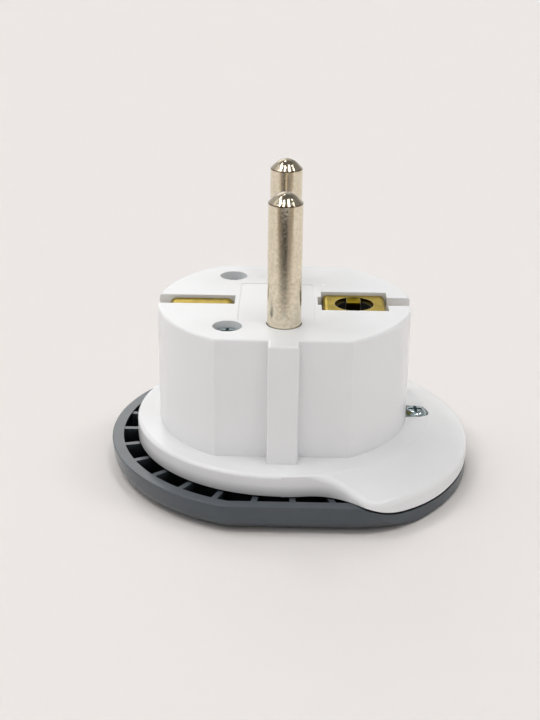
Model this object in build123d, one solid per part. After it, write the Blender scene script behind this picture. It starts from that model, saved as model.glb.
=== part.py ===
from build123d import *
import math
import os

# Travel plug adapter, standing on its socket face with the plug pins pointing up.
# Millimetres. The origin is on the plug's axis, in the plane of the socket face.
# +Z runs along the pins, +X towards the side lobe, and the two pins lie over the Y axis.

# Plug pins and round earth hole, at the sizes of an earthed round-pin plug
PIN_PITCH = 19.0
PIN_R = 2.4
PIN_LENGTH = 19.0
PIN_DOME = 1.45
PIN_TAPER = 46.0
EARTH_X = 10.3
EARTH_BORE_R = 2.5
PIN_Y = PIN_PITCH / 2

# Clearances, and the reach of one solid into or past another
PIN_GAP = 0.12
STRIP_GAP = 0.15
SLOT_GAP = 0.25
THREAD_GAP = 0.02
SCREW_GAP = 0.2
WELL_GAP = 0.14
LOBE_GAP = 0.38
STACK_GAP = 0.1
ROOT = 1.0
PAST = 1.0

# Heights above the socket face
SEAT = 4.4
RIM_DROP = 0.1
RIB_DROP = 0.15
FLANGE_H = 3.2
BODY_H = 17.7
RIM_TOP = SEAT - RIM_DROP
RIB_TOP = RIM_TOP - RIB_DROP
PLATEAU = SEAT + FLANGE_H
BODY_TOP = PLATEAU + BODY_H
PIN_TIP = BODY_TOP + PIN_LENGTH

# Plug body
BODY_R = 18.7
FLAT_Y = 16.1
KEY_RISE = 2.4
KEY_W = 4.3
TOP_EDGE = 0.35
KEY_EDGE = 0.3
TOP_WALL = 2.6
SIDE_WALL = 1.7
PAD_HALF = 3.6
KEY_Y = FLAT_Y + KEY_RISE
CEILING = BODY_TOP - TOP_WALL

# Flange and lobe
FLANGE_STEP = 3.35
FLANGE_EDGE = 0.55
FLANGE_FOOT = 0.12
LOBE_WIDTH = 6.0
LOBE_RIM_H = 2.2
LOBE_RIM_BOTTOM = 2.4
LOBE_EDGE = 1.0
LOBE_SPARE = 1.2
LEVEL_LIMIT = 0.8
LOBE_START_ANGLE = 74.38
LOBE_START_INSET = 0.14
LOBE_CORNER_ANGLE = 63.64
LOBE_REACH = 1.4
S_CURVE_R = 8.0
LOBE_CORNER_R = 2.6
CORNER_NEAR = 1.5
LOBE_INNER_STEP = 0.45
FLANGE_R = BODY_R + FLANGE_STEP
LOBE_R = FLANGE_R + LOBE_WIDTH
LOBE_RIM_TOP = LOBE_RIM_BOTTOM + LOBE_RIM_H
LOBE_INNER_R = FLANGE_R + LOBE_INNER_STEP

# Underside of the lobe: distance along X, and the share of the drop from seat to lobe rim
RAMP_START = 9.3
RAMP_BLEND = 3.0
RAMP_END = LOBE_R + 3.0
RAMP = ((RAMP_START, 0), (11.5, 0.1), (12.8, 0.235), (14.2, 0.49), (15.6, 0.71), (17.2, 0.84),
        (19.5, 0.95), (RAMP_END, 1))

# Socket face plate
PLATE_MARGIN = 3.95
FLAT_MARGIN = 2.85
PLATE_CORNER_R = 5.0
PLATE_TURN_R = 9.0
PLATE_SWEEP_R = 20.0
PLATE_WALL = 1.7
PLATE_EDGE = 0.4
PLATE_ROUND = 2.7
PLATE_DRAFT = 5.0
PLATE_LIP = 0.3
RIM_EDGE = 0.15
PLATE_FLOOR = 2.0
CELL_FLOOR = 1.2
RING_INSET = 1.65
RING_WALL = 1.6
RIB_COUNT = 27
RIB_T = 0.85
RIB_START = -86.0
FACE_GROOVE = 0.3
FACE_GROOVE_R = 17.2
FACE_GROOVE_W = 0.7
PLATE_SMALL_R = FLANGE_R + PLATE_MARGIN
PLATE_FLAT_Y = FLANGE_R + FLAT_MARGIN
PLATE_LARGE_R = LOBE_R
RING_OUT = FLANGE_R - RING_INSET
RING_IN = RING_OUT - RING_WALL

# Socket openings: parallel blades, round pins on the same centre line, round earth pin
BLADE_Y = 6.35
BLADE_SLOT_X = 8.2
BLADE_SLOT_Y = 2.0
ROUND_R = 2.6
LOWER_EARTH_IN = 7.6
LOWER_EARTH_X = LOWER_EARTH_IN - BODY_R
LOWER_EARTH_R = 2.65

# Screws
SCREW_X = -7.94
SCREW_Y = 10.9
FRONT_SCREW_SINK = 0.75
BACK_SCREW_SINK = 1.1
SCREW_HEAD_R = 1.95
SCREW_HEAD_H = 1.6
SCREW_R = 1.1
SCREW_POINT = 0.55
SCREW_END = 4.6
PILLAR_R = 2.7
PILLAR_TOP = 14.0
BOSS_R = 3.1
LOBE_SCREW_OUT = 1.5
LOBE_SCREW_LIFT = 2.05
LOBE_SCREW_HEAD_R = 1.9
LOBE_SCREW_END = 1.4
LOBE_BOSS_R = 2.0
CROSS_L = 2.1
CROSS_W = 0.5
CROSS_D = 0.9
HEAD_DOME = 0.7
LOBE_HEAD_DOME = 1.2
SCREW_WELL_R = SCREW_HEAD_R + WELL_GAP
SCREW_HOLE_R = SCREW_R + SCREW_GAP
LOBE_SCREW_X = BODY_R + LOBE_SCREW_OUT
LOBE_SCREW_SEAT = SEAT + LOBE_SCREW_LIFT
LOBE_POCKET_HALF = LOBE_SCREW_HEAD_R + STRIP_GAP

# Pin fixings
NECK_STEP = 0.3
COLLAR_R = 3.2
COLLAR_H = 1.2
TAIL_R = 1.3
WASHER_R = 2.1
WASHER_T = 0.4
TAIL_HEAD_R = 1.7
TAIL_HEAD_H = 0.4
NECK_R = PIN_R - NECK_STEP
COLLAR_TOP = CEILING - STACK_GAP

# Brass strip
STRIP_T = 0.6
STRIP_HALF = 1.6
STRIP_DROP = 0.42
STRIP_BEND = 0.8
FOLD_DROP = 1.3
LEG_STEP = 3.4
GROOVE_SILL = 1.0
CLIP_FOOT = 1.0
CLIP_BOW = 7.4
CLIP_BOW_INSET = 0.55
STRIP_Z = BODY_TOP - STRIP_DROP - STRIP_T / 2
LEG_STEP_Z = BODY_TOP - LEG_STEP
GROOVE_FOOT = PLATEAU + GROOVE_SILL
CLIP_FOOT_Z = GROOVE_FOOT + CLIP_FOOT
CLIP_BOW_Z = GROOVE_FOOT + CLIP_BOW
CLIP_BOW_X = BODY_R - CLIP_BOW_INSET

# Left earth slot and clip
LEFT_SLOT_LENGTH = 11.4
TAB_INSET = 0.45
GROOVE_DEPTH = 2.8
HOOK_DEPTH = 1.2
LEG_STAND = 0.95
LEFT_SLOT_END = LEFT_SLOT_LENGTH - BODY_R
LEFT_SLOT_HALF = STRIP_HALF + SLOT_GAP
LEFT_TAB_X = LEFT_SLOT_END - TAB_INSET
LEFT_GROOVE_X = GROOVE_DEPTH - BODY_R
LEFT_LEG_X = LEFT_GROOVE_X - LEG_STAND

# Right earth pocket and plate
PLATE_HALF = 3.7
POCKET_BACK = 4.86
POCKET_FRONT = 4.9
NOTCH_DEPTH = 0.54
RIGHT_SLOT_HALF = 1.7
PLATE_HOLE_EDGE = 0.38
PLATE_BEND = 0.5
TONGUE_W = 2.1
TONGUE_DEPTH = 2.6
TONGUE_BEND = 0.6
RIGHT_HALF = PLATE_HALF + SLOT_GAP
RIGHT_START = EARTH_X - POCKET_BACK
RIGHT_END = EARTH_X + POCKET_FRONT
NOTCH_START = RIGHT_START - NOTCH_DEPTH
NOTCH_HALF = STRIP_HALF + STRIP_GAP
RIGHT_TAB_X = RIGHT_START + TAB_INSET
RIGHT_LEG_X = RIGHT_END - TAB_INSET
PLATE_HOLE_R = EARTH_BORE_R + PLATE_HOLE_EDGE
TONGUE_END = BODY_TOP - TONGUE_DEPTH

# Earth strap, sleeve and tube inside the body
SLEEVE_WALL = 0.5
SLEEVE_BOTTOM = 9.5
SLEEVE_LIP_R = 3.6
SLEEVE_LIP_T = 0.4
SLEEVE_SLIT = 0.8
SLEEVE_RING = 5.3
STRAP_DEPTH = 4.7
EARTH_TUBE_R = 2.4
EARTH_TUBE_TOP = 13.0
TUBE_RING = 2.0
TUBE_LIFT = 1.0
RIVET_R = 0.8
RIVET_HEAD_R = 1.3
RIVET_HEAD_H = 0.5
RIVET_FOOT = 2.2
LEFT_RIVET_STEP = 5.5
RIGHT_RIVET_X = 3.5
TUBE_RIVET_LIFT = 1.4
TUBE_RIVET_R = 0.6
TUBE_HEAD_R = 1.0
TUBE_HEAD_H = 0.4
TUBE_PAD_EDGE = 1.5
SLEEVE_SLIT_TOP = BODY_TOP - SLEEVE_RING
STRAP_Z = BODY_TOP - STRAP_DEPTH
STRAP_LOW = STRAP_Z - STRIP_T / 2
LEFT_RIVET_X = LOWER_EARTH_X + LEFT_RIVET_STEP
STRAP_LEG_X = LOWER_EARTH_X + EARTH_TUBE_R + SLEEVE_WALL + STRIP_T / 2
STRAP_LEG_END = EARTH_TUBE_TOP - TUBE_RING
EARTH_TUBE_BOTTOM = PLATE_FLOOR + TUBE_LIFT
TUBE_RIVET_Z = EARTH_TUBE_TOP + TUBE_RIVET_LIFT
TUBE_PAD_TOP = TUBE_RIVET_Z + TUBE_PAD_EDGE

# Pin contacts and the divider between them
LEAF_T = 0.5
LEAF_HALF = 2.5
LEAF_END = 3.4
BLADE_IN = 1.15
BLADE_OUT = 1.05
ROUND_OUT = 2.5
FORK_DEPTH = 3.0
FORK_ROOT = 2.0
DIVIDER_Y = 4.1
DIVIDER_T = 0.9
DIVIDER_HALF = 12.8
BRIDGE_T = 1.0
LEAVES = (BLADE_Y - BLADE_IN, BLADE_Y + BLADE_OUT, PIN_Y + ROUND_OUT)
DIVIDER_TOP = STRAP_LOW - RIVET_HEAD_H - STACK_GAP

# Label panel, left bare
PANEL_X0 = -6.62
PANEL_X1 = 4.4
PANEL_Y0 = -9.0
PANEL_Y1 = 7.4
PANEL_DEPTH = 0.06
PANEL_CORNER = 1.0


# A block between two corners
def box(x0, x1, y0, y1, z0, z1):
    shape = Box(x1 - x0, y1 - y0, z1 - z0)
    return Pos((x0 + x1) / 2, (y0 + y1) / 2, (z0 + z1) / 2) * shape


# An upright cylinder on the point x, y
def tube(x, y, radius, z0, z1):
    return Pos(x, y, (z0 + z1) / 2) * Cylinder(radius, z1 - z0)


# A flat face raised from one height to another
def lift(face, z0, z1):
    return Pos(0, 0, z0) * extrude(face, z1 - z0)


# The point at a radius and an angle in degrees
def polar(radius, angle):
    turn = math.radians(angle)
    return radius * math.cos(turn), radius * math.sin(turn)


# A solid of revolution about the plug's axis
def spin(points):
    outline = Plane.XZ * make_face(Polyline(*points, close=True))
    return revolve(outline, Axis.Z)


# Outline of the socket face plate: a small arc, a large arc and two flats
def plate_face(inset):
    small = Circle(PLATE_SMALL_R - inset)
    large = Circle(PLATE_LARGE_R - inset)
    reach = 2 * PLATE_LARGE_R
    left = small & (Pos(-reach / 2, 0) * Rectangle(reach, reach))
    right = large & (Pos(reach / 2, 0) * Rectangle(reach, reach))
    band = Rectangle(2 * reach, 2 * (PLATE_FLAT_Y - inset))
    return (left + right) & band


# The block that holds the plate's wall: drafted, and rounded below along the left and the flats.
# On the lobe's side it is so much larger that its round only meets the plate's own bottom edge.
def plate_block():
    lip = RIM_TOP - PLATE_LIP
    inset = lip * math.tan(math.radians(PLATE_DRAFT))
    swell = PLATE_ROUND - PLATE_EDGE
    reach = 2 * PLATE_LARGE_R
    left = Circle(PLATE_SMALL_R - inset) & (Pos(-reach / 2, 0) * Rectangle(reach, reach))
    right = Circle(PLATE_LARGE_R + swell) & (Pos(reach / 2, 0) * Rectangle(reach, 2 * reach))
    outline = (left + right) & Rectangle(2 * reach, 2 * (PLATE_FLAT_Y - inset))
    small_corners = [corner for corner in outline.vertices() if corner.X < 0]
    outline = fillet(small_corners, PLATE_CORNER_R - inset)
    large_corners = [corner for corner in outline.vertices() if corner.X > PLATE_TURN_R]
    large_corners = [corner for corner in large_corners if abs(corner.Y) > PLATE_CORNER_R]
    outline = fillet(large_corners, PLATE_SWEEP_R)
    block = extrude(outline, RIM_TOP + PAST, taper=-PLATE_DRAFT)
    return fillet(block.faces().sort_by(Axis.Z)[0].edges(), PLATE_ROUND)


# Outline of the flange and of the lobe that swells out of it on the +X side
def flange_face():
    sx, sy = polar(FLANGE_R - LOBE_START_INSET, LOBE_START_ANGLE)
    cx, cy = polar(LOBE_R, LOBE_CORNER_ANGLE)
    fx, fy = sx + (cx - sx) * LOBE_REACH, sy + (cy - sy) * LOBE_REACH
    far = 2 * LOBE_R
    wedge = make_face(Polyline((0, 0), (sx, -sy), (fx, -fy), (far, -fy), (far, fy), (fx, fy), (sx, sy),
                               close=True))
    return Circle(FLANGE_R) + (wedge & Circle(LOBE_R))


# Everything above the lobe's underside, from the level seat down to the lobe's rim
def ramp_cut(gap, top):
    points = []
    for x, drop in RAMP:
        z = SEAT - drop * (SEAT - LOBE_RIM_BOTTOM)
        share = min(1, (x - RAMP_START) / RAMP_BLEND)
        points.append((x, z - gap * share))
    under = Spline(*points, tangents=((1, 0), (1, 0)))
    start_x, start_z = points[0]
    end_x, end_z = points[-1]
    level = Line((0, start_z), (start_x, start_z))
    sides = Polyline((end_x, end_z), (end_x, top), (0, top), (0, start_z))
    outline = make_face([level, under, sides])
    return extrude(Plane.XZ * outline, LOBE_R + PAST, both=True)


# The upright edges of a solid that lie near the points x, y and x, -y
def vertical_edges(shape, x, y, reach):
    found = []
    for edge in shape.edges().filter_by(Axis.Z):
        middle = edge.center()
        if abs(abs(middle.X) - abs(x)) < reach and abs(abs(middle.Y) - abs(y)) < reach:
            if middle.X * x > 0:
                found.append(edge)
    return found


# Outline of the plug body: a circle with two flats
def body_face(radius, flat):
    return Circle(radius) & Rectangle(2 * radius, 2 * flat)


# The flange's outline as a prism, with the lobe's S-curves and corners rounded
def lobe_prism():
    prism = lift(flange_face(), 0, BODY_TOP)
    start = polar(FLANGE_R - LOBE_START_INSET, LOBE_START_ANGLE)
    corner = polar(LOBE_R, LOBE_CORNER_ANGLE)
    prism = fillet(vertical_edges(prism, *start, CORNER_NEAR), S_CURVE_R)
    return fillet(vertical_edges(prism, *corner, CORNER_NEAR), LOBE_CORNER_R)


# The flange's disc and the lobe, which falls as a cone from the disc to its own rim
def flange():
    e = FLANGE_EDGE
    disc = tube(0, 0, FLANGE_R, SEAT, PLATEAU)
    disc = fillet(disc.edges().sort_by(Axis.Z)[-1:], e)
    disc = fillet(disc.edges().sort_by(Axis.Z)[:1], FLANGE_FOOT)
    slope = (PLATEAU - LOBE_RIM_TOP) / (LOBE_R - FLANGE_R)
    far = LOBE_R + LOBE_SPARE
    cone = spin([(0, 0), (0, PLATEAU), (FLANGE_R - e, PLATEAU), (FLANGE_R, PLATEAU - slope * e / 2),
                 (far, LOBE_RIM_TOP - slope * (LOBE_SPARE - e / 2)), (far, 0)])
    lobe = lobe_prism() & cone
    rim = []
    for edge in lobe.edges():
        middle = edge @ 0.5
        outside = math.hypot(middle.X, middle.Y) > FLANGE_R - THREAD_GAP
        level = abs(edge.tangent_at(0.5).Z) < LEVEL_LIMIT
        if outside and level and middle.X > FLANGE_EDGE and middle.Z > LOBE_RIM_BOTTOM:
            rim.append(edge)
    lobe = fillet(rim, LOBE_EDGE)
    lobe = lobe & ramp_cut(0, BODY_TOP)
    under = tube(0, 0, LOBE_INNER_R, 0, SEAT)
    return disc + (lobe - under)


# The plug body's outside with the two key ribs
def body_shell():
    key = box(-KEY_W / 2, KEY_W / 2, -KEY_Y, KEY_Y, PLATEAU - ROOT, BODY_TOP)
    for x in (-KEY_W / 2, KEY_W / 2):
        key = fillet(vertical_edges(key, x, KEY_Y, KEY_EDGE), KEY_EDGE)
    shell = lift(body_face(BODY_R, FLAT_Y), PLATEAU - ROOT, BODY_TOP) + key
    shell = fillet(shell.faces().sort_by(Axis.Z)[-1].edges(), TOP_EDGE)
    return shell


# The hollow inside the plug body, with solid pads behind both earth grooves
def body_cavity():
    cavity = lift(body_face(BODY_R - SIDE_WALL - STRIP_GAP, FLAT_Y - SIDE_WALL), 0, CEILING)
    left_face = LEFT_GROOVE_X + SIDE_WALL
    right_face = RIGHT_END - SIDE_WALL - STRIP_GAP
    pads = box(-BODY_R, left_face, -PAD_HALF, PAD_HALF, SEAT, CEILING)
    pads += box(right_face, BODY_R, -PAD_HALF, PAD_HALF, SEAT, CEILING)
    for side in (-1, 1):
        pads += tube(SCREW_X, side * SCREW_Y, BOSS_R, PILLAR_TOP, CEILING)
    return cavity - pads


# Slot, groove and tab hole for the narrow earth clip on the -X side
def left_earth_cuts():
    half = LEFT_SLOT_HALF
    far = BODY_R + PAST
    above = BODY_TOP + PAST
    floor = STRIP_Z - STRIP_T / 2
    cuts = box(-far, LEFT_SLOT_END, -half, half, floor, above)
    cuts += box(-far, LEFT_GROOVE_X, -half, half, GROOVE_FOOT, above)
    tab = LEFT_TAB_X - STRIP_T / 2 - STRIP_BEND
    cuts += box(tab, LEFT_SLOT_END, -half, half, CEILING - PAST, BODY_TOP)
    hook = CLIP_FOOT_Z + STRIP_T / 2 + STRIP_GAP
    cuts += box(-far, LEFT_GROOVE_X + HOOK_DEPTH, -half, half, GROOVE_FOOT, hook)
    return cuts


# Pocket, groove and sleeve bore for the wide earth plate on the +X side
def right_earth_cuts():
    half = RIGHT_SLOT_HALF
    wide = RIGHT_HALF
    far = BODY_R + PAST
    above = BODY_TOP + PAST
    floor = STRIP_Z - STRIP_T / 2
    cuts = box(RIGHT_START, RIGHT_END, -wide, wide, floor, above)
    cuts += box(NOTCH_START, RIGHT_START + PAST, -NOTCH_HALF, NOTCH_HALF, CEILING - PAST, above)
    cuts += box(RIGHT_END, far, -half, half, GROOVE_FOOT, above)
    fold = STRIP_Z - FOLD_DROP - STRIP_GAP
    inner = RIGHT_LEG_X - STRIP_BEND - STRIP_T / 2
    outer = RIGHT_TAB_X + STRIP_BEND + STRIP_T / 2
    cuts += box(inner, RIGHT_END, -wide, wide, fold, BODY_TOP)
    cuts += box(RIGHT_START, outer, -wide, wide, fold, BODY_TOP)
    leg = RIGHT_LEG_X - STRIP_T / 2 - STRIP_GAP
    cuts += box(leg, far, -half, half, LEG_STEP_Z - 2 * STRIP_BEND, BODY_TOP)
    hook = CLIP_FOOT_Z + STRIP_T / 2 + STRIP_GAP
    cuts += box(leg, far, -half, half, GROOVE_FOOT, hook)
    cuts += tube(EARTH_X, 0, EARTH_BORE_R + SLEEVE_WALL + STRIP_GAP, 0, BODY_TOP)
    lip = floor - SLEEVE_LIP_T
    cuts += tube(EARTH_X, 0, SLEEVE_LIP_R + STRIP_GAP, lip, BODY_TOP)
    return cuts


# How high the crown of a body screw's head sits: the front one is screwed in less deep
def head_top(side):
    return BODY_TOP - (FRONT_SCREW_SINK if side < 0 else BACK_SCREW_SINK)


# The white moulding: plug body, flange and lobe in one piece
def rear_housing():
    housing = flange() + body_shell()
    housing -= body_cavity()
    housing -= left_earth_cuts()
    housing -= right_earth_cuts()
    for side in (-1, 1):
        y = side * SCREW_Y
        housing -= tube(SCREW_X, y, SCREW_WELL_R, head_top(side) - SCREW_HEAD_H, BODY_TOP + PAST)
        housing -= tube(SCREW_X, y, SCREW_HOLE_R, 0, BODY_TOP)
        housing -= tube(0, side * PIN_Y, PIN_R + PIN_GAP, CEILING - PAST, BODY_TOP + PAST)
    pocket = LOBE_POCKET_HALF
    inside = BODY_R - SIDE_WALL
    housing -= box(inside, LOBE_SCREW_X, -pocket, pocket, LOBE_SCREW_SEAT, PLATEAU + PAST)
    housing -= tube(LOBE_SCREW_X, 0, pocket, LOBE_SCREW_SEAT, PLATEAU + PAST)
    housing -= tube(LOBE_SCREW_X, 0, SCREW_HOLE_R, 0, PLATEAU)
    panel = RectangleRounded(PANEL_X1 - PANEL_X0, PANEL_Y1 - PANEL_Y0, PANEL_CORNER)
    panel = Pos((PANEL_X0 + PANEL_X1) / 2, (PANEL_Y0 + PANEL_Y1) / 2) * panel
    housing -= lift(panel, BODY_TOP - PANEL_DEPTH, BODY_TOP + PAST)
    return housing


# The thin ribs between the plate's inner ring and its outer wall
def rib_ring(top):
    ribs = []
    inside = (RING_IN + RING_OUT) / 2
    for index in range(RIB_COUNT):
        angle = RIB_START + index * 360 / RIB_COUNT
        bar = box(inside, PLATE_LARGE_R, -RIB_T / 2, RIB_T / 2, CELL_FLOOR, top)
        ribs.append(Rot(0, 0, angle) * bar)
    return ribs


# The openings in the socket face and the shallow ring around them
def socket_cuts():
    above = PLATE_FLOOR + PAST
    cuts = tube(LOWER_EARTH_X, 0, LOWER_EARTH_R, -PAST, above)
    for side in (-1, 1):
        y = side * BLADE_Y
        cuts += box(-BLADE_SLOT_X / 2, BLADE_SLOT_X / 2, y - BLADE_SLOT_Y / 2, y + BLADE_SLOT_Y / 2,
                    -PAST, above)
        cuts += tube(0, side * PIN_Y, ROUND_R, -PAST, above)
    ring = tube(0, 0, FACE_GROOVE_R + FACE_GROOVE_W / 2, -PAST, FACE_GROOVE)
    cuts += ring - tube(0, 0, FACE_GROOVE_R - FACE_GROOVE_W / 2, -PAST, FACE_GROOVE)
    return cuts


# The grey moulding: tray, ribs, inner ring, screw pillars and socket face
def face_plate():
    plate = lift(plate_face(0), 0, RIM_TOP)
    for side, radius in ((-1, PLATE_CORNER_R), (1, PLATE_TURN_R)):
        corners = []
        for edge in plate.edges().filter_by(Axis.Z):
            middle = edge.center()
            if middle.X * side > 0 and abs(abs(middle.Y) - PLATE_FLAT_Y) < STRIP_GAP:
                corners.append(edge)
        plate = fillet(corners, radius)
    plate = fillet(plate.faces().sort_by(Axis.Z)[0].edges(), PLATE_EDGE)
    plate = fillet(plate.faces().sort_by(Axis.Z)[-1].edges(), RIM_EDGE)
    plate = plate & plate_block()
    inner = lift(plate_face(PLATE_WALL), CELL_FLOOR, RIM_TOP + PAST)
    ribs = [rib & inner for rib in rib_ring(RIB_TOP)]
    plate -= inner - tube(0, 0, RING_OUT, 0, RIM_TOP + PAST)
    plate += ribs
    plate += tube(0, 0, RING_OUT, PLATE_FLOOR, SEAT)
    plate -= tube(0, 0, RING_IN, PLATE_FLOOR, SEAT + PAST)
    spread = box(RAMP_START, PLATE_LARGE_R + PAST, -PLATE_LARGE_R, PLATE_LARGE_R, 0, BODY_TOP)
    spread -= tube(0, 0, LOBE_INNER_R - STRIP_GAP, 0, BODY_TOP)
    plate -= spread & ramp_cut(LOBE_GAP, BODY_TOP)
    plate += tube(LOBE_SCREW_X, 0, LOBE_BOSS_R, CELL_FLOOR, SEAT)
    bore = SCREW_R + THREAD_GAP
    plate -= tube(LOBE_SCREW_X, 0, bore, LOBE_SCREW_END - THREAD_GAP, SEAT + PAST)
    for side in (-1, 1):
        y = side * SCREW_Y
        plate += tube(SCREW_X, y, PILLAR_R, PLATE_FLOOR, PILLAR_TOP)
        plate -= tube(SCREW_X, y, bore, SCREW_END - THREAD_GAP, PILLAR_TOP + PAST)
    return plate - socket_cuts()


# A pin's turned end: a short cone that runs into a round tip
def pin_end(y):
    lean = math.radians(PIN_TAPER)
    tip_r = (PIN_R * math.tan(lean) - PIN_DOME) / (math.tan(lean) - math.tan(lean / 2))
    tip_z = (PIN_R - tip_r) * math.tan(lean)
    tip = TangentArc((tip_r, tip_z), (0, PIN_DOME), tangent=(-math.cos(lean), math.sin(lean)))
    sides = Polyline((0, PIN_DOME), (0, 0), (PIN_R, 0), (tip_r, tip_z))
    outline = make_face([tip, sides])
    return Pos(0, y, PIN_TIP - PIN_DOME) * revolve(Plane.XZ * outline, Axis.Z)


# A turned pin with its tip, neck, collar, tail and riveted end
def pin(side):
    y = side * PIN_Y
    collar_end = COLLAR_TOP - COLLAR_H
    shaft = tube(0, y, PIN_R, BODY_TOP, PIN_TIP - PIN_DOME)
    shaft += tube(0, y, NECK_R, collar_end, BODY_TOP)
    shaft += pin_end(y)
    shaft += tube(0, y, COLLAR_R, collar_end, COLLAR_TOP)
    tail = collar_end - STRIP_T - WASHER_T
    shaft += tube(0, y, TAIL_R, tail - TAIL_HEAD_H, collar_end)
    shaft += tube(0, y, TAIL_HEAD_R, tail - TAIL_HEAD_H, tail)
    return shaft


# The washer under the riveted end of a pin
def pin_washer(side):
    y = side * PIN_Y
    top = COLLAR_TOP - COLLAR_H - STRIP_T
    ring = tube(0, y, WASHER_R, top - WASHER_T, top)
    return ring - tube(0, y, TAIL_R + THREAD_GAP, top - WASHER_T - PAST, top + PAST)


# A folded contact: a bridge under the pin's collar and three leaves
def pin_contact(side):
    top = COLLAR_TOP - COLLAR_H
    first = LEAVES[0]
    last = LEAVES[-1]
    y0, y1 = sorted((side * first, side * (last + LEAF_T)))
    contact = box(-COLLAR_R, COLLAR_R, y0, y1, top - STRIP_T, top)
    base = top - STRIP_T
    for place in LEAVES:
        a, b = sorted((side * place, side * (place + LEAF_T)))
        if place == LEAVES[1]:
            inner = WASHER_R + STRIP_GAP
            contact += box(-COLLAR_R, -inner, a, b, base - FORK_DEPTH, base)
            contact += box(inner, COLLAR_R, a, b, base - FORK_DEPTH, base)
            contact += box(-COLLAR_R, COLLAR_R, a, b, LEAF_END, base - FORK_ROOT)
        else:
            contact += box(-LEAF_HALF, LEAF_HALF, a, b, LEAF_END, base)
    return contact - tube(0, side * PIN_Y, TAIL_R + THREAD_GAP, 0, top + PAST)


# A bent strip of sheet metal along a path in the XZ plane
def strip(points, bend, half):
    path = FilletPolyline(*points, radius=bend)
    face = Plane.XZ * trace(path, STRIP_T)
    return extrude(face, half, both=True)


# A rivet through the strap and the strip that lies on it
def rivet(x):
    low = STRAP_LOW
    high = low + 2 * STRIP_T
    body = tube(x, 0, RIVET_R, low, high)
    body += tube(x, 0, RIVET_HEAD_R, low - RIVET_HEAD_H, low)
    return body + tube(x, 0, RIVET_HEAD_R, high, high + RIVET_HEAD_H)


# The hole for a strap rivet
def rivet_hole(x):
    return tube(x, 0, RIVET_R + THREAD_GAP, 0, CEILING)


# The narrow earth clip: tab, crowned top, bowed leg and hooked foot
def earth_clip_left():
    foot = STRAP_Z + STRIP_T
    bow = [(LEFT_LEG_X, STRIP_Z), (LEFT_LEG_X, LEG_STEP_Z), (-CLIP_BOW_X, CLIP_BOW_Z),
           (LEFT_LEG_X, CLIP_FOOT_Z), (LEFT_GROOVE_X + STRIP_BEND, CLIP_FOOT_Z)]
    points = [(LEFT_RIVET_X + RIVET_FOOT, foot), (LEFT_TAB_X, foot), (LEFT_TAB_X, STRIP_Z)] + bow
    clip = strip(points, STRIP_BEND, STRIP_HALF)
    return clip - rivet_hole(LEFT_RIVET_X)


# Where the wide earth plate is wide and where it is narrow
def plate_mask():
    wide = box(RIGHT_TAB_X - STRIP_T, RIGHT_LEG_X + STRIP_T, -PLATE_HALF, PLATE_HALF,
               STRIP_Z - FOLD_DROP, BODY_TOP)
    return wide + box(-BODY_R, BODY_R, -STRIP_HALF, STRIP_HALF, 0, BODY_TOP)


# The small tongue folded down into the plate's hole from its back edge
def tongue():
    start = PLATE_HALF - STRIP_GAP
    edge = PLATE_HOLE_R - STRIP_T / 2 + THREAD_GAP
    path = FilletPolyline((start, STRIP_Z), (edge, STRIP_Z), (edge, TONGUE_END), radius=TONGUE_BEND)
    face = Plane.YZ * trace(path, STRIP_T)
    return Pos(EARTH_X, 0, 0) * extrude(face, TONGUE_W / 2, both=True)


# The wide earth plate with its hole, tongue, tab and bowed leg
def earth_plate():
    foot = STRAP_Z + STRIP_T
    points = [(RIGHT_RIVET_X - RIVET_FOOT, foot), (RIGHT_TAB_X, foot), (RIGHT_TAB_X, STRIP_Z),
              (RIGHT_LEG_X, STRIP_Z), (RIGHT_LEG_X, LEG_STEP_Z), (CLIP_BOW_X, CLIP_BOW_Z),
              (RIGHT_LEG_X + STRIP_BEND, CLIP_FOOT_Z), (RIGHT_LEG_X, CLIP_FOOT_Z)]
    plate = strip(points, PLATE_BEND, PLATE_HALF) & plate_mask()
    plate -= tube(EARTH_X, 0, PLATE_HOLE_R, STRIP_Z - STRIP_T, BODY_TOP)
    plate += tongue()
    return plate - rivet_hole(RIGHT_RIVET_X)


# The lipped, slit sleeve that takes the earth pin of a wall socket
def earth_sleeve():
    top = STRIP_Z - STRIP_T / 2
    outer = EARTH_BORE_R + SLEEVE_WALL
    sleeve = tube(EARTH_X, 0, outer, SLEEVE_BOTTOM, top)
    sleeve += tube(EARTH_X, 0, SLEEVE_LIP_R, top - SLEEVE_LIP_T, top)
    sleeve -= tube(EARTH_X, 0, EARTH_BORE_R, 0, top + PAST)
    slit = box(EARTH_X, EARTH_X + outer + PAST, -SLEEVE_SLIT / 2, SLEEVE_SLIT / 2, 0, SLEEVE_SLIT_TOP)
    relief = box(EARTH_X - TONGUE_W / 2 - STRIP_GAP, EARTH_X + TONGUE_W / 2 + STRIP_GAP,
                 0, SLEEVE_LIP_R + PAST, TONGUE_END - STRIP_GAP, top + PAST)
    return sleeve - slit - relief


# The strap that joins both earth strips to the earth tube
def earth_strap():
    points = [(RIGHT_RIVET_X + RIVET_FOOT / 2, STRAP_Z), (STRAP_LEG_X, STRAP_Z),
              (STRAP_LEG_X, STRAP_LEG_END)]
    strap = strip(points, STRIP_BEND, STRIP_HALF)
    strap -= rivet_hole(LEFT_RIVET_X)
    strap -= rivet_hole(RIGHT_RIVET_X)
    return strap - tube_rivet_hole()


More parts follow.
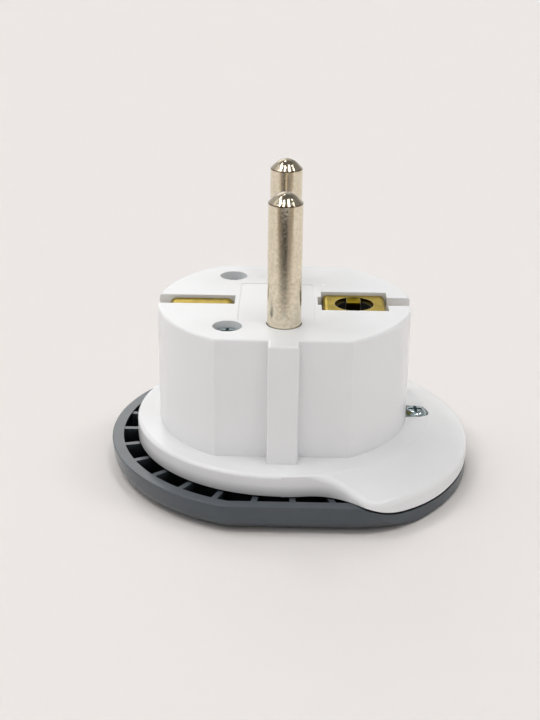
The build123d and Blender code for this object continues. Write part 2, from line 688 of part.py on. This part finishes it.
# The slit tube that takes a plug's round earth pin, with its pad
def earth_contact():
    outer = EARTH_TUBE_R + SLEEVE_WALL
    x = LOWER_EARTH_X
    shape = tube(x, 0, outer, EARTH_TUBE_BOTTOM, EARTH_TUBE_TOP)
    shape -= tube(x, 0, EARTH_TUBE_R, 0, CEILING)
    slit_top = EARTH_TUBE_TOP - TUBE_RING
    shape -= box(x - outer - PAST, x, -SLEEVE_SLIT / 2, SLEEVE_SLIT / 2, 0, slit_top)
    face = STRAP_LEG_X - STRIP_T / 2
    pad = box(face - SLEEVE_WALL, face, -STRIP_HALF, STRIP_HALF, STRAP_LEG_END, TUBE_PAD_TOP)
    shape += pad - tube(x, 0, EARTH_TUBE_R, 0, EARTH_TUBE_TOP)
    return shape - tube_rivet_hole()


# The hole for the rivet that joins the strap to the earth tube's pad
def tube_rivet_hole():
    place = Pos(STRAP_LEG_X, 0, TUBE_RIVET_Z) * Rot(0, 90, 0)
    return place * Cylinder(TUBE_RIVET_R + THREAD_GAP, RIVET_FOOT)


# The rivet that joins the strap to the earth tube's pad
def tube_rivet():
    left = STRAP_LEG_X - STRIP_T / 2 - SLEEVE_WALL
    right = STRAP_LEG_X + STRIP_T / 2
    turn = Rot(0, 90, 0)
    middle = (left + right) / 2
    body = Pos(middle, 0, TUBE_RIVET_Z) * turn * Cylinder(TUBE_RIVET_R, right - left)
    for x in (left - TUBE_HEAD_H / 2, right + TUBE_HEAD_H / 2):
        body += Pos(x, 0, TUBE_RIVET_Z) * turn * Cylinder(TUBE_HEAD_R, TUBE_HEAD_H)
    return body


# The insulating wall between the two contacts and the earth parts
def contact_divider():
    base = PLATE_FLOOR
    walls = []
    for side in (-1, 1):
        y0, y1 = sorted((side * (DIVIDER_Y - DIVIDER_T / 2), side * (DIVIDER_Y + DIVIDER_T / 2)))
        walls.append(box(-DIVIDER_HALF, DIVIDER_HALF, y0, y1, base, DIVIDER_TOP))
    cross = box(-BRIDGE_T / 2, BRIDGE_T / 2, -DIVIDER_Y, DIVIDER_Y, base, DIVIDER_TOP)
    return walls[0] + walls[1] + cross


# A pan-head screw with a cross recess
def pan_screw(x, y, seat, head_r, head_h, end, dome):
    head = tube(x, y, head_r, seat, seat + head_h)
    head = fillet(head.edges().sort_by(Axis.Z)[-1:], dome)
    top = seat + head_h
    shank = tube(x, y, SCREW_R, end, seat)
    shank = chamfer(shank.edges().sort_by(Axis.Z)[:1], SCREW_POINT)
    half = CROSS_L / 2
    cross = box(x - half, x + half, y - CROSS_W / 2, y + CROSS_W / 2, top - CROSS_D, top + PAST)
    cross += box(x - CROSS_W / 2, x + CROSS_W / 2, y - half, y + half, top - CROSS_D, top + PAST)
    return head + shank - cross


# A long screw that holds the body to the plate's pillar
def body_screw(side):
    seat = head_top(side) - SCREW_HEAD_H
    return pan_screw(SCREW_X, side * SCREW_Y, seat, SCREW_HEAD_R, SCREW_HEAD_H, SCREW_END, HEAD_DOME)


# The short screw in the lobe's pocket
def lobe_screw():
    return pan_screw(LOBE_SCREW_X, 0, LOBE_SCREW_SEAT, LOBE_SCREW_HEAD_R, SCREW_HEAD_H, LOBE_SCREW_END,
                     LOBE_HEAD_DOME)


os.makedirs("parts", exist_ok=True)
pieces = {
    "face_plate": face_plate(),
    "rear_housing": rear_housing(),
    "line_pin": pin(-1),
    "neutral_pin": pin(1),
    "line_washer": pin_washer(-1),
    "neutral_washer": pin_washer(1),
    "line_contact": pin_contact(-1),
    "neutral_contact": pin_contact(1),
    "earth_clip": earth_clip_left(),
    "earth_plate": earth_plate(),
    "earth_sleeve": earth_sleeve(),
    "earth_strap": earth_strap(),
    "earth_contact": earth_contact(),
    "clip_rivet": rivet(LEFT_RIVET_X),
    "plate_rivet": rivet(RIGHT_RIVET_X),
    "contact_rivet": tube_rivet(),
    "contact_divider": contact_divider(),
    "front_screw": body_screw(-1),
    "back_screw": body_screw(1),
    "lobe_screw": lobe_screw(),
}
for name, shape in pieces.items():
    print(name, round(shape.volume, 2), len(shape.solids()), shape.is_valid)
    export_step(shape, "parts/" + name + ".step")
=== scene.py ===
# %% [markdown]
# # A travel plug adapter, dressed for its portrait
#
# The adapter's pieces come ready made at their real size: a white moulding, a dark grey ribbed
# base, two plated pins and some brass. None of them may be moved or reshaped here. The work of
# this lesson is what they look like: how each surface takes light, and how a small studio is set
# up so that one picture shows it well.

# %% Load the frame
import math

import bpy
from mathutils import Matrix, Vector


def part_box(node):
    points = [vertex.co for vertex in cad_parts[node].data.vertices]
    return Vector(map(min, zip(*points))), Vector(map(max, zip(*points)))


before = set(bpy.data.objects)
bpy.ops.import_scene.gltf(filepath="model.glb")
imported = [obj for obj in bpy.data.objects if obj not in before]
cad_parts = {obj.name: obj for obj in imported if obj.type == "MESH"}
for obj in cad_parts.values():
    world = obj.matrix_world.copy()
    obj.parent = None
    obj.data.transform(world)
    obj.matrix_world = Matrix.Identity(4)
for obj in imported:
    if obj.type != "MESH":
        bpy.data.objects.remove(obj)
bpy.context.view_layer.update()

# %% [markdown]
# ## The camera
#
# The picture was taken from in front and a little above, from about a hand's length away, so the
# near pin looks clearly larger than the far one. Perspective like that depends only on where the
# camera stands. So its place, aim and small tilt are given in the object's own millimetres, and
# the lens only decides how much of the view is kept.

# %% The camera
MM = 0.001
CAMERA_PLACE = Vector((0.35, -177.41, 89.55)) * MM
CAMERA_AIM = Vector((-2.14, 7.21, 12.69)) * MM
CAMERA_TILT = math.radians(0.63)
CAMERA_LENS = 63.78
SENSOR = 36.0
NEAR_CLIP, FAR_CLIP = 0.01, 20


def add_camera(place, aim, tilt, lens):
    data = bpy.data.cameras.new("portrait_camera")
    data.lens = lens
    data.sensor_width = SENSOR
    data.clip_start = NEAR_CLIP
    data.clip_end = FAR_CLIP
    camera = bpy.data.objects.new("portrait_camera", data)
    bpy.context.scene.collection.objects.link(camera)
    look = (aim - place).to_track_quat("-Z", "Y").to_matrix()
    turn = Matrix.Rotation(tilt, 3, "Z")
    camera.matrix_world = Matrix.Translation(place) @ (look @ turn).to_4x4()
    return camera


camera = add_camera(CAMERA_PLACE, CAMERA_AIM, CAMERA_TILT, CAMERA_LENS)
bpy.context.scene.camera = camera
print("camera right:", [round(v, 5) for v in camera.matrix_world.col[0][:3]])

# %% [markdown]
# ## A small kit for node trees
#
# A material in Blender is a graph of nodes, and so is the world around the object. Written out
# in full, each node takes several lines. So this cell makes one short way to add a node, set its
# plain values and wire its inputs, and a few sums that everything below is made of.

# %% Node helpers
class Nodes:
    """A node tree, with short ways to add to it."""

    def __init__(self, tree):
        self.tree = tree
        self.tree.nodes.clear()

    def node(self, kind, inputs=None, **settings):
        made = self.tree.nodes.new(kind)
        for key, value in settings.items():
            setattr(made, key, value)
        for key, value in (inputs or {}).items():
            self.feed(made.inputs[key], value)
        return made

    def feed(self, socket, value):
        """Wires another node's output to the socket, or sets a plain value on it."""
        if isinstance(value, bpy.types.NodeSocket):
            self.tree.links.new(value, socket)
        elif isinstance(value, tuple) and len(value) == 3 and socket.type == "RGBA":
            socket.default_value = (*value, 1)
        else:
            socket.default_value = value

    def math(self, operation, a, b=0.0):
        return self.node("ShaderNodeMath", {0: a, 1: b}, operation=operation).outputs[0]

    def dot(self, a, b):
        made = self.node("ShaderNodeVectorMath", {0: a, 1: b}, operation="DOT_PRODUCT")
        return made.outputs["Value"]


print("one millimetre is", MM, "of Blender's units")

# %% [markdown]
# ## A small kit for materials
#
# Every material starts from object coordinates, which are metres here, so a grain of half a
# millimetre can be asked for as exactly that. Colours are mixed by noises of a stated size, and
# bumps have a stated height.

# %% Material helpers
class Graph(Nodes):
    """The node tree of one material."""

    def __init__(self, name):
        self.material = bpy.data.materials.new(name)
        self.material.use_nodes = True
        super().__init__(self.material.node_tree)
        self.place = self.node("ShaderNodeTexCoord").outputs["Object"]

    def along(self):
        """The place along each axis, by the axis's name."""
        return self.node("ShaderNodeSeparateXYZ", {"Vector": self.place}).outputs

    def noise(self, size, detail=3.0, roughness=0.5, stretch=None):
        """Soft noise whose blobs are about size metres across, from 0 to 1."""
        place = self.place
        if stretch:
            place = self.node("ShaderNodeMapping", {"Vector": place, "Scale": stretch}).outputs[0]
        inputs = {"Vector": place, "Scale": 1 / size, "Detail": detail, "Roughness": roughness}
        return self.node("ShaderNodeTexNoise", inputs).outputs["Fac"]

    def span(self, value, low, high, out_low=0.0, out_high=1.0):
        """Stretches low..high to out_low..out_high and clamps outside it."""
        inputs = {"Value": value, "From Min": low, "From Max": high,
                  "To Min": out_low, "To Max": out_high}
        return self.node("ShaderNodeMapRange", inputs, clamp=True).outputs[0]

    def mix(self, share, a, b):
        """Colour a where share is 0 and colour b where it is 1."""
        made = self.node("ShaderNodeMix", data_type="RGBA")
        self.feed(made.inputs[0], share)
        self.feed(made.inputs[6], a)
        self.feed(made.inputs[7], b)
        return made.outputs[2]

    def bump(self, height, depth, under=None):
        """A normal raised by height (0 to 1) times depth metres."""
        inputs = {"Height": height, "Distance": depth}
        if under is not None:
            inputs["Normal"] = under
        return self.node("ShaderNodeBump", inputs).outputs[0]

    def finish(self, **inputs):
        """The shader itself. Names with underscores stand for the socket's words."""
        shader = self.node("ShaderNodeBsdfPrincipled")
        for key, value in inputs.items():
            self.feed(shader.inputs[key.replace("_", " ")], value)
        self.node("ShaderNodeOutputMaterial", {"Surface": shader.outputs[0]})
        return self.material


def dress(material, *nodes):
    """Gives whole CAD pieces one material."""
    for name in nodes:
        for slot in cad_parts[name].material_slots:
            slot.material = material
    print(material.name, "on", len(nodes), "pieces")


print("pieces to dress:", ", ".join(sorted(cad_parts)))

# %% [markdown]
# ## White moulded plastic
#
# The body and flange are one moulding in white plastic, polished where the mould was polished.
# It is never one flat white: the colour drifts a little across thick and thin walls, the gloss
# varies where hands have been, and the walls have faint shallow sinks. The shine sits on top of
# a scattering body, so a plain shader with a clear reflection does it, and noises at three sizes
# (walls, fingers, grain) carry the rest. The foot of the flange wall looks down on dark cells, so
# a painted shade, a gradient by height in the colour, darkens it there, except at the lobe, where
# the wall reaches lower.

# %% White plastic
WHITE = (0.826, 0.827, 0.840)
WHITE_SHADE = (0.810, 0.811, 0.824)
WALL_FOOT_SHADE = (0.50, 0.50, 0.515)
# The foot's painted shade starts and is full at these heights, and ends before the lobe along X
FOOT_TOP, FOOT_FULL = 6.0 * MM, 4.6 * MM
FOOT_END, FOOT_FADE = 9.5 * MM, 6.5 * MM
DRIFT_SIZE = 14 * MM
HAND_SIZE = 4 * MM
WHITE_ROUGH = (0.20, 0.28)
SOFT_EDGE = 0.08 * MM
SINK_SIZE, SINK_DEPTH = 7 * MM, 0.02 * MM
SKIN_SIZE, SKIN_DEPTH = 0.7 * MM, 0.0015 * MM


def white_plastic():
    g = Graph("white_plastic")
    colour = g.mix(g.span(g.noise(DRIFT_SIZE, 2.0), 0.25, 0.75), WHITE, WHITE_SHADE)
    place = g.along()
    # Painted shade: the colour darkens towards the foot of the flange wall, away from the lobe
    foot = g.math("MULTIPLY", g.span(place["Z"], FOOT_TOP, FOOT_FULL),
                  g.span(place["X"], FOOT_END, FOOT_FADE))
    colour = g.mix(foot, colour, WALL_FOOT_SHADE)
    rough = g.span(g.noise(HAND_SIZE, 4.0, 0.6), 0.2, 0.8, *WHITE_ROUGH)
    soft = g.node("ShaderNodeBevel", {"Radius": SOFT_EDGE}, samples=4).outputs[0]
    sinks = g.bump(g.noise(SINK_SIZE, 1.0), SINK_DEPTH, under=soft)
    normal = g.bump(g.noise(SKIN_SIZE, 1.0), SKIN_DEPTH, under=sinks)
    return g.finish(Base_Color=colour, Roughness=rough, Normal=normal)


dress(white_plastic(), "rear_housing")

# %% [markdown]
# ## Dark grey moulded plastic
#
# The ribbed base is a cooler, darker plastic with a finer skin. Its mould leaves a slight flow
# pattern along the walls. Its cells are deep and narrow, so their floors and walls are painted a
# much darker colour by how much of the open room each spot of the surface can see: painted shade.

# %% Grey plastic
GREY = (0.060, 0.072, 0.084)
GREY_PALE = (0.070, 0.082, 0.094)
GREY_CELL_SHADE = (0.006, 0.007, 0.008)
GREY_ROUGH = (0.16, 0.26)
CLOUD_SIZE = 7 * MM
FLOW_SIZE, FLOW_DEPTH = 2.5 * MM, 0.02 * MM
GRIT_SIZE, GRIT_DEPTH = 0.5 * MM, 0.004 * MM
CELL_REACH = 5 * MM
# The share of open room at which a cell is at its darkest, and at which its own colour is back
CELL_DARK, CELL_OPEN = 0.12, 0.45


def grey_plastic():
    g = Graph("grey_plastic")
    flow = g.noise(FLOW_SIZE, 3.0, 0.6, stretch=(1, 1, 3))
    colour = g.mix(g.span(g.noise(CLOUD_SIZE, 3.0), 0.3, 0.7), GREY, GREY_PALE)
    seen = g.node("ShaderNodeAmbientOcclusion", {"Distance": CELL_REACH}, samples=8).outputs["AO"]
    # Painted shade: where a spot sees little of the open room, its colour goes to near black
    colour = g.mix(g.span(seen, CELL_DARK, CELL_OPEN), GREY_CELL_SHADE, colour)
    rough = g.span(flow, 0.3, 0.7, *GREY_ROUGH)
    normal = g.bump(g.noise(GRIT_SIZE, 2.0), GRIT_DEPTH, under=g.bump(flow, FLOW_DEPTH))
    return g.finish(Base_Color=colour, Roughness=rough, Normal=normal)


dress(grey_plastic(), "face_plate")

# %% [markdown]
# ## Plated pins
#
# The pins are turned brass under a thin warm nickel plating. The plating is not a mirror: it has
# a fine salt and pepper grain, slightly rougher low down where it has been pushed into sockets.
# The domed ends are darker and a little uneven, with a fine turned ring where each dome begins.
# Metal takes its colour from the room and its own tint, so the grain goes into the tint, the
# roughness and the bump together.

# %% Plated pins
NICKEL = (0.83, 0.75, 0.60)
NICKEL_DARK = (0.53, 0.46, 0.34)
NICKEL_CLOUD = (0.62, 0.55, 0.42)
TIP_DARK = (0.34, 0.29, 0.22)
RING_DARK = (0.12, 0.08, 0.05)
RING_DROP = 1.5 * MM
RING_HALF = 0.13 * MM
# Wear grows from the first depth under the top to the second
WEAR_START, WEAR_FULL = 3 * MM, 15 * MM
SALT_SIZE, SALT_DEPTH = 0.42 * MM, 0.010 * MM
DRAWN_SIZE, DRAWN_DEPTH = 0.5 * MM, 0.003 * MM
UNEVEN_SIZE, UNEVEN_DEPTH, UNEVEN_TIP_DEPTH = 0.9 * MM, 0.004 * MM, 0.012 * MM
PIN_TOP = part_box("line_pin")[1].z


def plated_pin():
    g = Graph("plated_pin")
    height = g.along()["Z"]
    worn = g.span(height, PIN_TOP - WEAR_START, PIN_TOP - WEAR_FULL)
    salt = g.noise(SALT_SIZE, 3.0, 0.6)
    pepper = g.math("MULTIPLY", g.span(salt, 0.44, 0.60), g.span(worn, 0, 1, 0.35, 0.48))
    colour = g.mix(pepper, NICKEL, NICKEL_DARK)
    cloud = g.math("MULTIPLY", g.span(g.noise(2.2 * MM, 3.0), 0.4, 0.7), 0.25)
    colour = g.mix(cloud, colour, NICKEL_CLOUD)
    # The tip is darker, and where its dome starts the turning tool left a fine ring
    ring = PIN_TOP - RING_DROP
    tip = g.span(height, ring, ring + RING_HALF)
    colour = g.mix(g.math("MULTIPLY", tip, 0.85), colour, TIP_DARK)
    off_ring = g.math("ABSOLUTE", g.math("SUBTRACT", height, ring))
    colour = g.mix(g.span(off_ring, RING_HALF, RING_HALF * 0.4), colour, RING_DARK)
    rough = g.math("ADD", g.span(salt, 0.3, 0.7, 0.10, 0.20), g.math("MULTIPLY", worn, 0.08))
    uneven = g.bump(g.noise(UNEVEN_SIZE, 1.0), g.span(tip, 0, 1, UNEVEN_DEPTH, UNEVEN_TIP_DEPTH))
    grain = g.bump(salt, SALT_DEPTH, under=uneven)
    drawn = g.noise(DRAWN_SIZE, 3.0, 0.6, stretch=(1, 1, 0.12))
    normal = g.bump(drawn, g.span(tip, 0, 1, DRAWN_DEPTH, 0.0), under=grain)
    return g.finish(Base_Color=colour, Metallic=1.0, Roughness=rough, Normal=normal)


dress(plated_pin(), "line_pin", "neutral_pin")

# %% [markdown]
# ## Pressed brass
#
# The earth strips are folded from sheet brass. Rolled sheet has a long fine grain, and where the
# press folded it the skin is stretched and polished. The folds are given a paler colour, partly
# for that polish and partly as a painted highlight where the bends catch the light. A fold is
# found by comparing the surface's direction with a slightly rounded copy of it: the two differ
# only near edges. The parts inside are the same brass with less polish, so one function makes both
# and takes how polished the sheet is, which also sets how strong the painted fold highlight is.

# %% Brass
BRASS = (0.47, 0.345, 0.025)
BRASS_DEEP = (0.32, 0.22, 0.020)
BRASS_FOLD_POLISH_AND_HIGHLIGHT = (0.72, 0.60, 0.38)
# Seen at a low angle, brass keeps more of its yellow than a plain metal shader gives it
BRASS_RIM = (0.97, 0.93, 0.80)
FOLD_REACH = 0.2 * MM
ROLLED_SIZE, ROLLED_DEPTH = 0.3 * MM, 0.006 * MM
STAIN_SIZE = 1.6 * MM
STRIP_POLISH_AND_HIGHLIGHT = 0.8
CONTACT_POLISH_AND_HIGHLIGHT = 0.3


def folds(g):
    """1 on the edges, 0 on open surfaces."""
    soft = g.node("ShaderNodeBevel", {"Radius": FOLD_REACH}, samples=6).outputs[0]
    plain = g.node("ShaderNodeNewGeometry").outputs["Normal"]
    return g.span(g.dot(soft, plain), 0.995, 0.9)


def brass(name, polish_and_highlight):
    g = Graph(name)
    rolled = g.noise(ROLLED_SIZE, 4.0, 0.6, stretch=(0.15, 1, 1))
    colour = g.mix(g.span(g.noise(STAIN_SIZE, 3.0), 0.35, 0.7), BRASS, BRASS_DEEP)
    # Painted highlight: the folds take a paler colour, partly real polish and partly the light the
    # bends catch
    colour = g.mix(g.math("MULTIPLY", folds(g), polish_and_highlight), colour, BRASS_FOLD_POLISH_AND_HIGHLIGHT)
    dull = 0.34 - 0.20 * polish_and_highlight
    rough = g.span(rolled, 0.3, 0.7, dull - 0.04, dull + 0.06)
    normal = g.bump(rolled, ROLLED_DEPTH)
    return g.finish(Base_Color=colour, Metallic=1.0, Roughness=rough, Normal=normal,
                    Specular_Tint=BRASS_RIM)


dress(brass("strip_brass", STRIP_POLISH_AND_HIGHLIGHT), "earth_clip", "earth_plate")
dress(brass("contact_brass", CONTACT_POLISH_AND_HIGHLIGHT), "earth_strap", "earth_contact", "line_contact",
      "neutral_contact", "clip_rivet", "plate_rivet", "contact_rivet")

# %% [markdown]
# ## Zinc plated steel
#
# The screws and washers have a thin zinc skin with a bluish cast. It is bright and a little
# cloudy, and the clouds change its gloss as well as its colour.

# %% Zinc steel
ZINC = (0.46, 0.53, 0.54)
ZINC_CLOUD = (0.32, 0.40, 0.42)
ZINC_ROUGH = (0.18, 0.34)


def zinc_steel():
    g = Graph("zinc_steel")
    cloud = g.noise(0.7 * MM, 4.0, 0.6)
    colour = g.mix(g.span(cloud, 0.35, 0.65), ZINC, ZINC_CLOUD)
    rough = g.span(cloud, 0.3, 0.7, *ZINC_ROUGH)
    normal = g.bump(g.noise(0.2 * MM, 3.0), 0.006 * MM)
    return g.finish(Base_Color=colour, Metallic=1.0, Roughness=rough, Normal=normal)


dress(zinc_steel(), "front_screw", "back_screw", "lobe_screw", "line_washer", "neutral_washer")

# %% [markdown]
# ## The divider inside
#
# The wall between the contacts can only be glimpsed through the socket openings. It is a plain
# cream insulating plastic with a dull skin.

# %% Divider plastic
CREAM = (0.62, 0.58, 0.48)
CREAM_SHADE = (0.56, 0.52, 0.43)
CREAM_ROUGH = (0.50, 0.62)


def divider_plastic():
    g = Graph("divider_plastic")
    colour = g.mix(g.span(g.noise(4 * MM), 0.3, 0.7), CREAM, CREAM_SHADE)
    rough = g.span(g.noise(1 * MM), 0.3, 0.7, *CREAM_ROUGH)
    normal = g.bump(g.noise(0.2 * MM, 2.0), 0.01 * MM)
    return g.finish(Base_Color=colour, Roughness=rough, Normal=normal)


dress(divider_plastic(), "contact_divider")

# %% [markdown]
# ## The black sleeve
#
# The sleeve under the earth plate is plain black plastic, so the opening above it looks like a
# deep hole.

# %% Black plastic
BLACK = (0.006, 0.006, 0.006)
BLACK_PALE = (0.012, 0.012, 0.012)
BLACK_ROUGH = (0.45, 0.60)


def black_plastic():
    g = Graph("black_plastic")
    colour = g.mix(g.span(g.noise(2 * MM), 0.3, 0.7), BLACK, BLACK_PALE)
    rough = g.span(g.noise(0.8 * MM), 0.3, 0.7, *BLACK_ROUGH)
    normal = g.bump(g.noise(0.2 * MM, 2.0), 0.01 * MM)
    return g.finish(Base_Color=colour, Roughness=rough, Normal=normal)


dress(black_plastic(), "earth_sleeve")

# %% [markdown]
# ## The floor
#
# The adapter stands on a pale, slightly warm table that runs out of sight in every direction.
# One wide disc does it. Its colour alone makes the background pale: no lamp is turned up for it.

# %% The floor
FLOOR_RADIUS = 4.0
FLOOR = (0.818, 0.785, 0.770)
FLOOR_SHADE = (0.812, 0.779, 0.760)
FLOOR_CLOUD = 60 * MM


def add_floor():
    bpy.ops.mesh.primitive_circle_add(vertices=96, radius=FLOOR_RADIUS, fill_type="NGON",
                                      location=(0, 0, 0))
    floor = bpy.context.object
    floor.name = "studio_floor"
    g = Graph("floor_card")
    colour = g.mix(g.span(g.noise(FLOOR_CLOUD, 3.0), 0.3, 0.7), FLOOR, FLOOR_SHADE)
    floor.data.materials.append(g.finish(Base_Color=colour, Roughness=0.8, Specular_IOR_Level=0.0))
    print(floor.name, "radius in m:", FLOOR_RADIUS)


add_floor()

# %% [markdown]
# ## Light
#
# Shiny things show the room they stand in, so the room is painted, not only lit. It is a picture
# made of directions, with no objects in it: a pale belt at the horizon, a wall above it that is
# darker on the right, a plain ceiling, a handful of round ceiling lamps and a few soft patches.
# Being infinitely far away, all of it lights the whole table evenly. Each lamp is a patch of sky
# round one direction, found by how closely a ray points that way.

# %% The room
HORIZON_TOP = 17.0
WALL_TOP = 49.0
BELT_BLUR = 2.0
# How bright the room is low down and higher up: behind and left, in front, and on the right
HORIZON = (0.78, 0.66, 0.93)
WALL = (0.82, 0.62, 0.42)
CEILING = 0.24
ROOM_TINT = (1.0, 0.995, 0.985)
# The middle of the right and of the front, from +X towards +Y, and the closeness to it (as a
# cosine) at which each begins and is full
RIGHT, RIGHT_EDGE = 8, (0.22, 0.42)
FRONT, FRONT_EDGE = -95, (0.10, 0.60)
# The ceiling lamps: azimuth from +X towards +Y, and elevation
LAMPS = ((-161, 62), (173, 59), (-119, 71), (102, 60), (-27, 74), (6, 58), (-49, 69), (150, 64))
LAMP_HALF_WIDTH = 2.8
LAMP_GLOW = 27.5
LAMP_BLUR = 0.25
# Softer patches: azimuth, elevation, half width and glow
PATCHES = ((106, 28, 13, 1.2), (165, 46, 9, 0.8), (-105, 55, 9, 0.6))


def direction(azimuth, elevation):
    a, e = math.radians(azimuth), math.radians(elevation)
    return math.cos(e) * math.cos(a), math.cos(e) * math.sin(a), math.sin(e)


def rise(degrees):
    return math.sin(math.radians(degrees))


class Sky(Nodes):
    """The world's node tree, with the few sums that painting a room takes."""

    def __init__(self, name):
        world = bpy.data.worlds.new(name)
        bpy.context.scene.world = world
        world.use_nodes = True
        super().__init__(world.node_tree)
        self.ray = self.node("ShaderNodeTexCoord").outputs["Generated"]

    def step(self, value, low, high):
        """Rises smoothly from 0 at low to 1 at high."""
        inputs = {"Value": value, "From Min": low, "From Max": high}
        made = self.node("ShaderNodeMapRange", inputs, interpolation_type="SMOOTHSTEP")
        return made.outputs[0]

    def blend(self, share, a, b):
        """a where share is 0, b where it is 1."""
        return self.node("ShaderNodeMix", {0: share, 2: a, 3: b}).outputs[0]

    def above(self, degrees):
        height = self.dot(self.ray, (0, 0, 1))
        return self.step(height, rise(degrees - BELT_BLUR), rise(degrees + BELT_BLUR))

    def lamp(self, azimuth, elevation, half_width, glow):
        outer = math.radians(half_width * (1 + LAMP_BLUR))
        inner = math.radians(half_width * (1 - LAMP_BLUR))
        close = self.dot(self.ray, direction(azimuth, elevation))
        return self.math("MULTIPLY", self.step(close, math.cos(outer), math.cos(inner)), glow)


def paint_room():
    sky = Sky("painted_room")
    right = sky.step(sky.dot(sky.ray, direction(RIGHT, 0)), *RIGHT_EDGE)
    front = sky.step(sky.dot(sky.ray, direction(FRONT, 0)), *FRONT_EDGE)
    low, high = (sky.blend(right, sky.blend(front, far, near), side)
                 for far, near, side in (HORIZON, WALL))
    room = sky.blend(sky.above(WALL_TOP), sky.blend(sky.above(HORIZON_TOP), low, high), CEILING)
    round_lamps = [(*lamp, LAMP_HALF_WIDTH, LAMP_GLOW) for lamp in LAMPS]
    for lamp in (*round_lamps, *PATCHES):
        room = sky.math("ADD", room, sky.lamp(*lamp))
    lit = sky.node("ShaderNodeBackground", {"Color": ROOM_TINT, "Strength": room})
    sky.node("ShaderNodeOutputWorld", {"Surface": lit.outputs[0]})
    print("room with", len(LAMPS), "lamps and", len(PATCHES), "soft patches")


paint_room()
bpy.context.scene.view_settings.view_transform = "Standard"

# %% [markdown]
# ### A dark card
#
# Upright metal shows what stands in front of it. Here that is a low dark card, as wide as a
# person would seem, and only reflections can see it. It puts the brown streak down the middle of
# the pins.

# %% Dark card
CARD_WIDTH = 240 * MM
CARD_HEIGHT = 24 * MM
CARD_Y = -80 * MM
# Near the table, over this share of its height, the card fades into the table's own brightness
CARD_FADE = 0.38
CARD_FOOT = (0.80, 0.77, 0.74)
# How far across the card, and the glow there
CARD_TONES = ((0.0, 0.80), (0.15, 0.46), (0.30, 0.22), (0.455, 0.04), (0.55, 0.04), (0.61, 0.26),
              (0.84, 0.42), (1.0, 0.75))
CARD_TINT = (1.0, 0.86, 0.72)


def card_material():
    g = Graph("dark_card")
    place = g.along()
    ramp = g.node("ShaderNodeValToRGB", {"Fac": g.math("ADD", place["X"], 0.5)})
    stops = ramp.color_ramp.elements
    for at, _ in CARD_TONES[1:-1]:
        stops.new(at)
    for stop, (_, tone) in zip(stops, CARD_TONES):
        stop.color = (*(tone * tint for tint in CARD_TINT), 1)
    foot = g.span(place["Y"], -0.5, CARD_FADE - 0.5)
    glow = g.node("ShaderNodeEmission", {"Color": g.mix(foot, CARD_FOOT, ramp.outputs[0])})
    g.node("ShaderNodeOutputMaterial", {"Surface": glow.outputs[0]})
    return g.material


def add_card():
    place = (0, CARD_Y, CARD_HEIGHT / 2)
    bpy.ops.mesh.primitive_plane_add(size=1, location=place, rotation=(math.pi / 2, 0, 0))
    card = bpy.context.object
    card.name = "dark_card"
    card.scale = (CARD_WIDTH, CARD_HEIGHT, 1)
    card.data.materials.append(card_material())
    for way in ("camera", "diffuse", "shadow", "transmission", "volume_scatter"):
        setattr(card, "visible_" + way, False)
    print(card.name, "in mm:", CARD_WIDTH / MM, "by", CARD_HEIGHT / MM)


add_card()
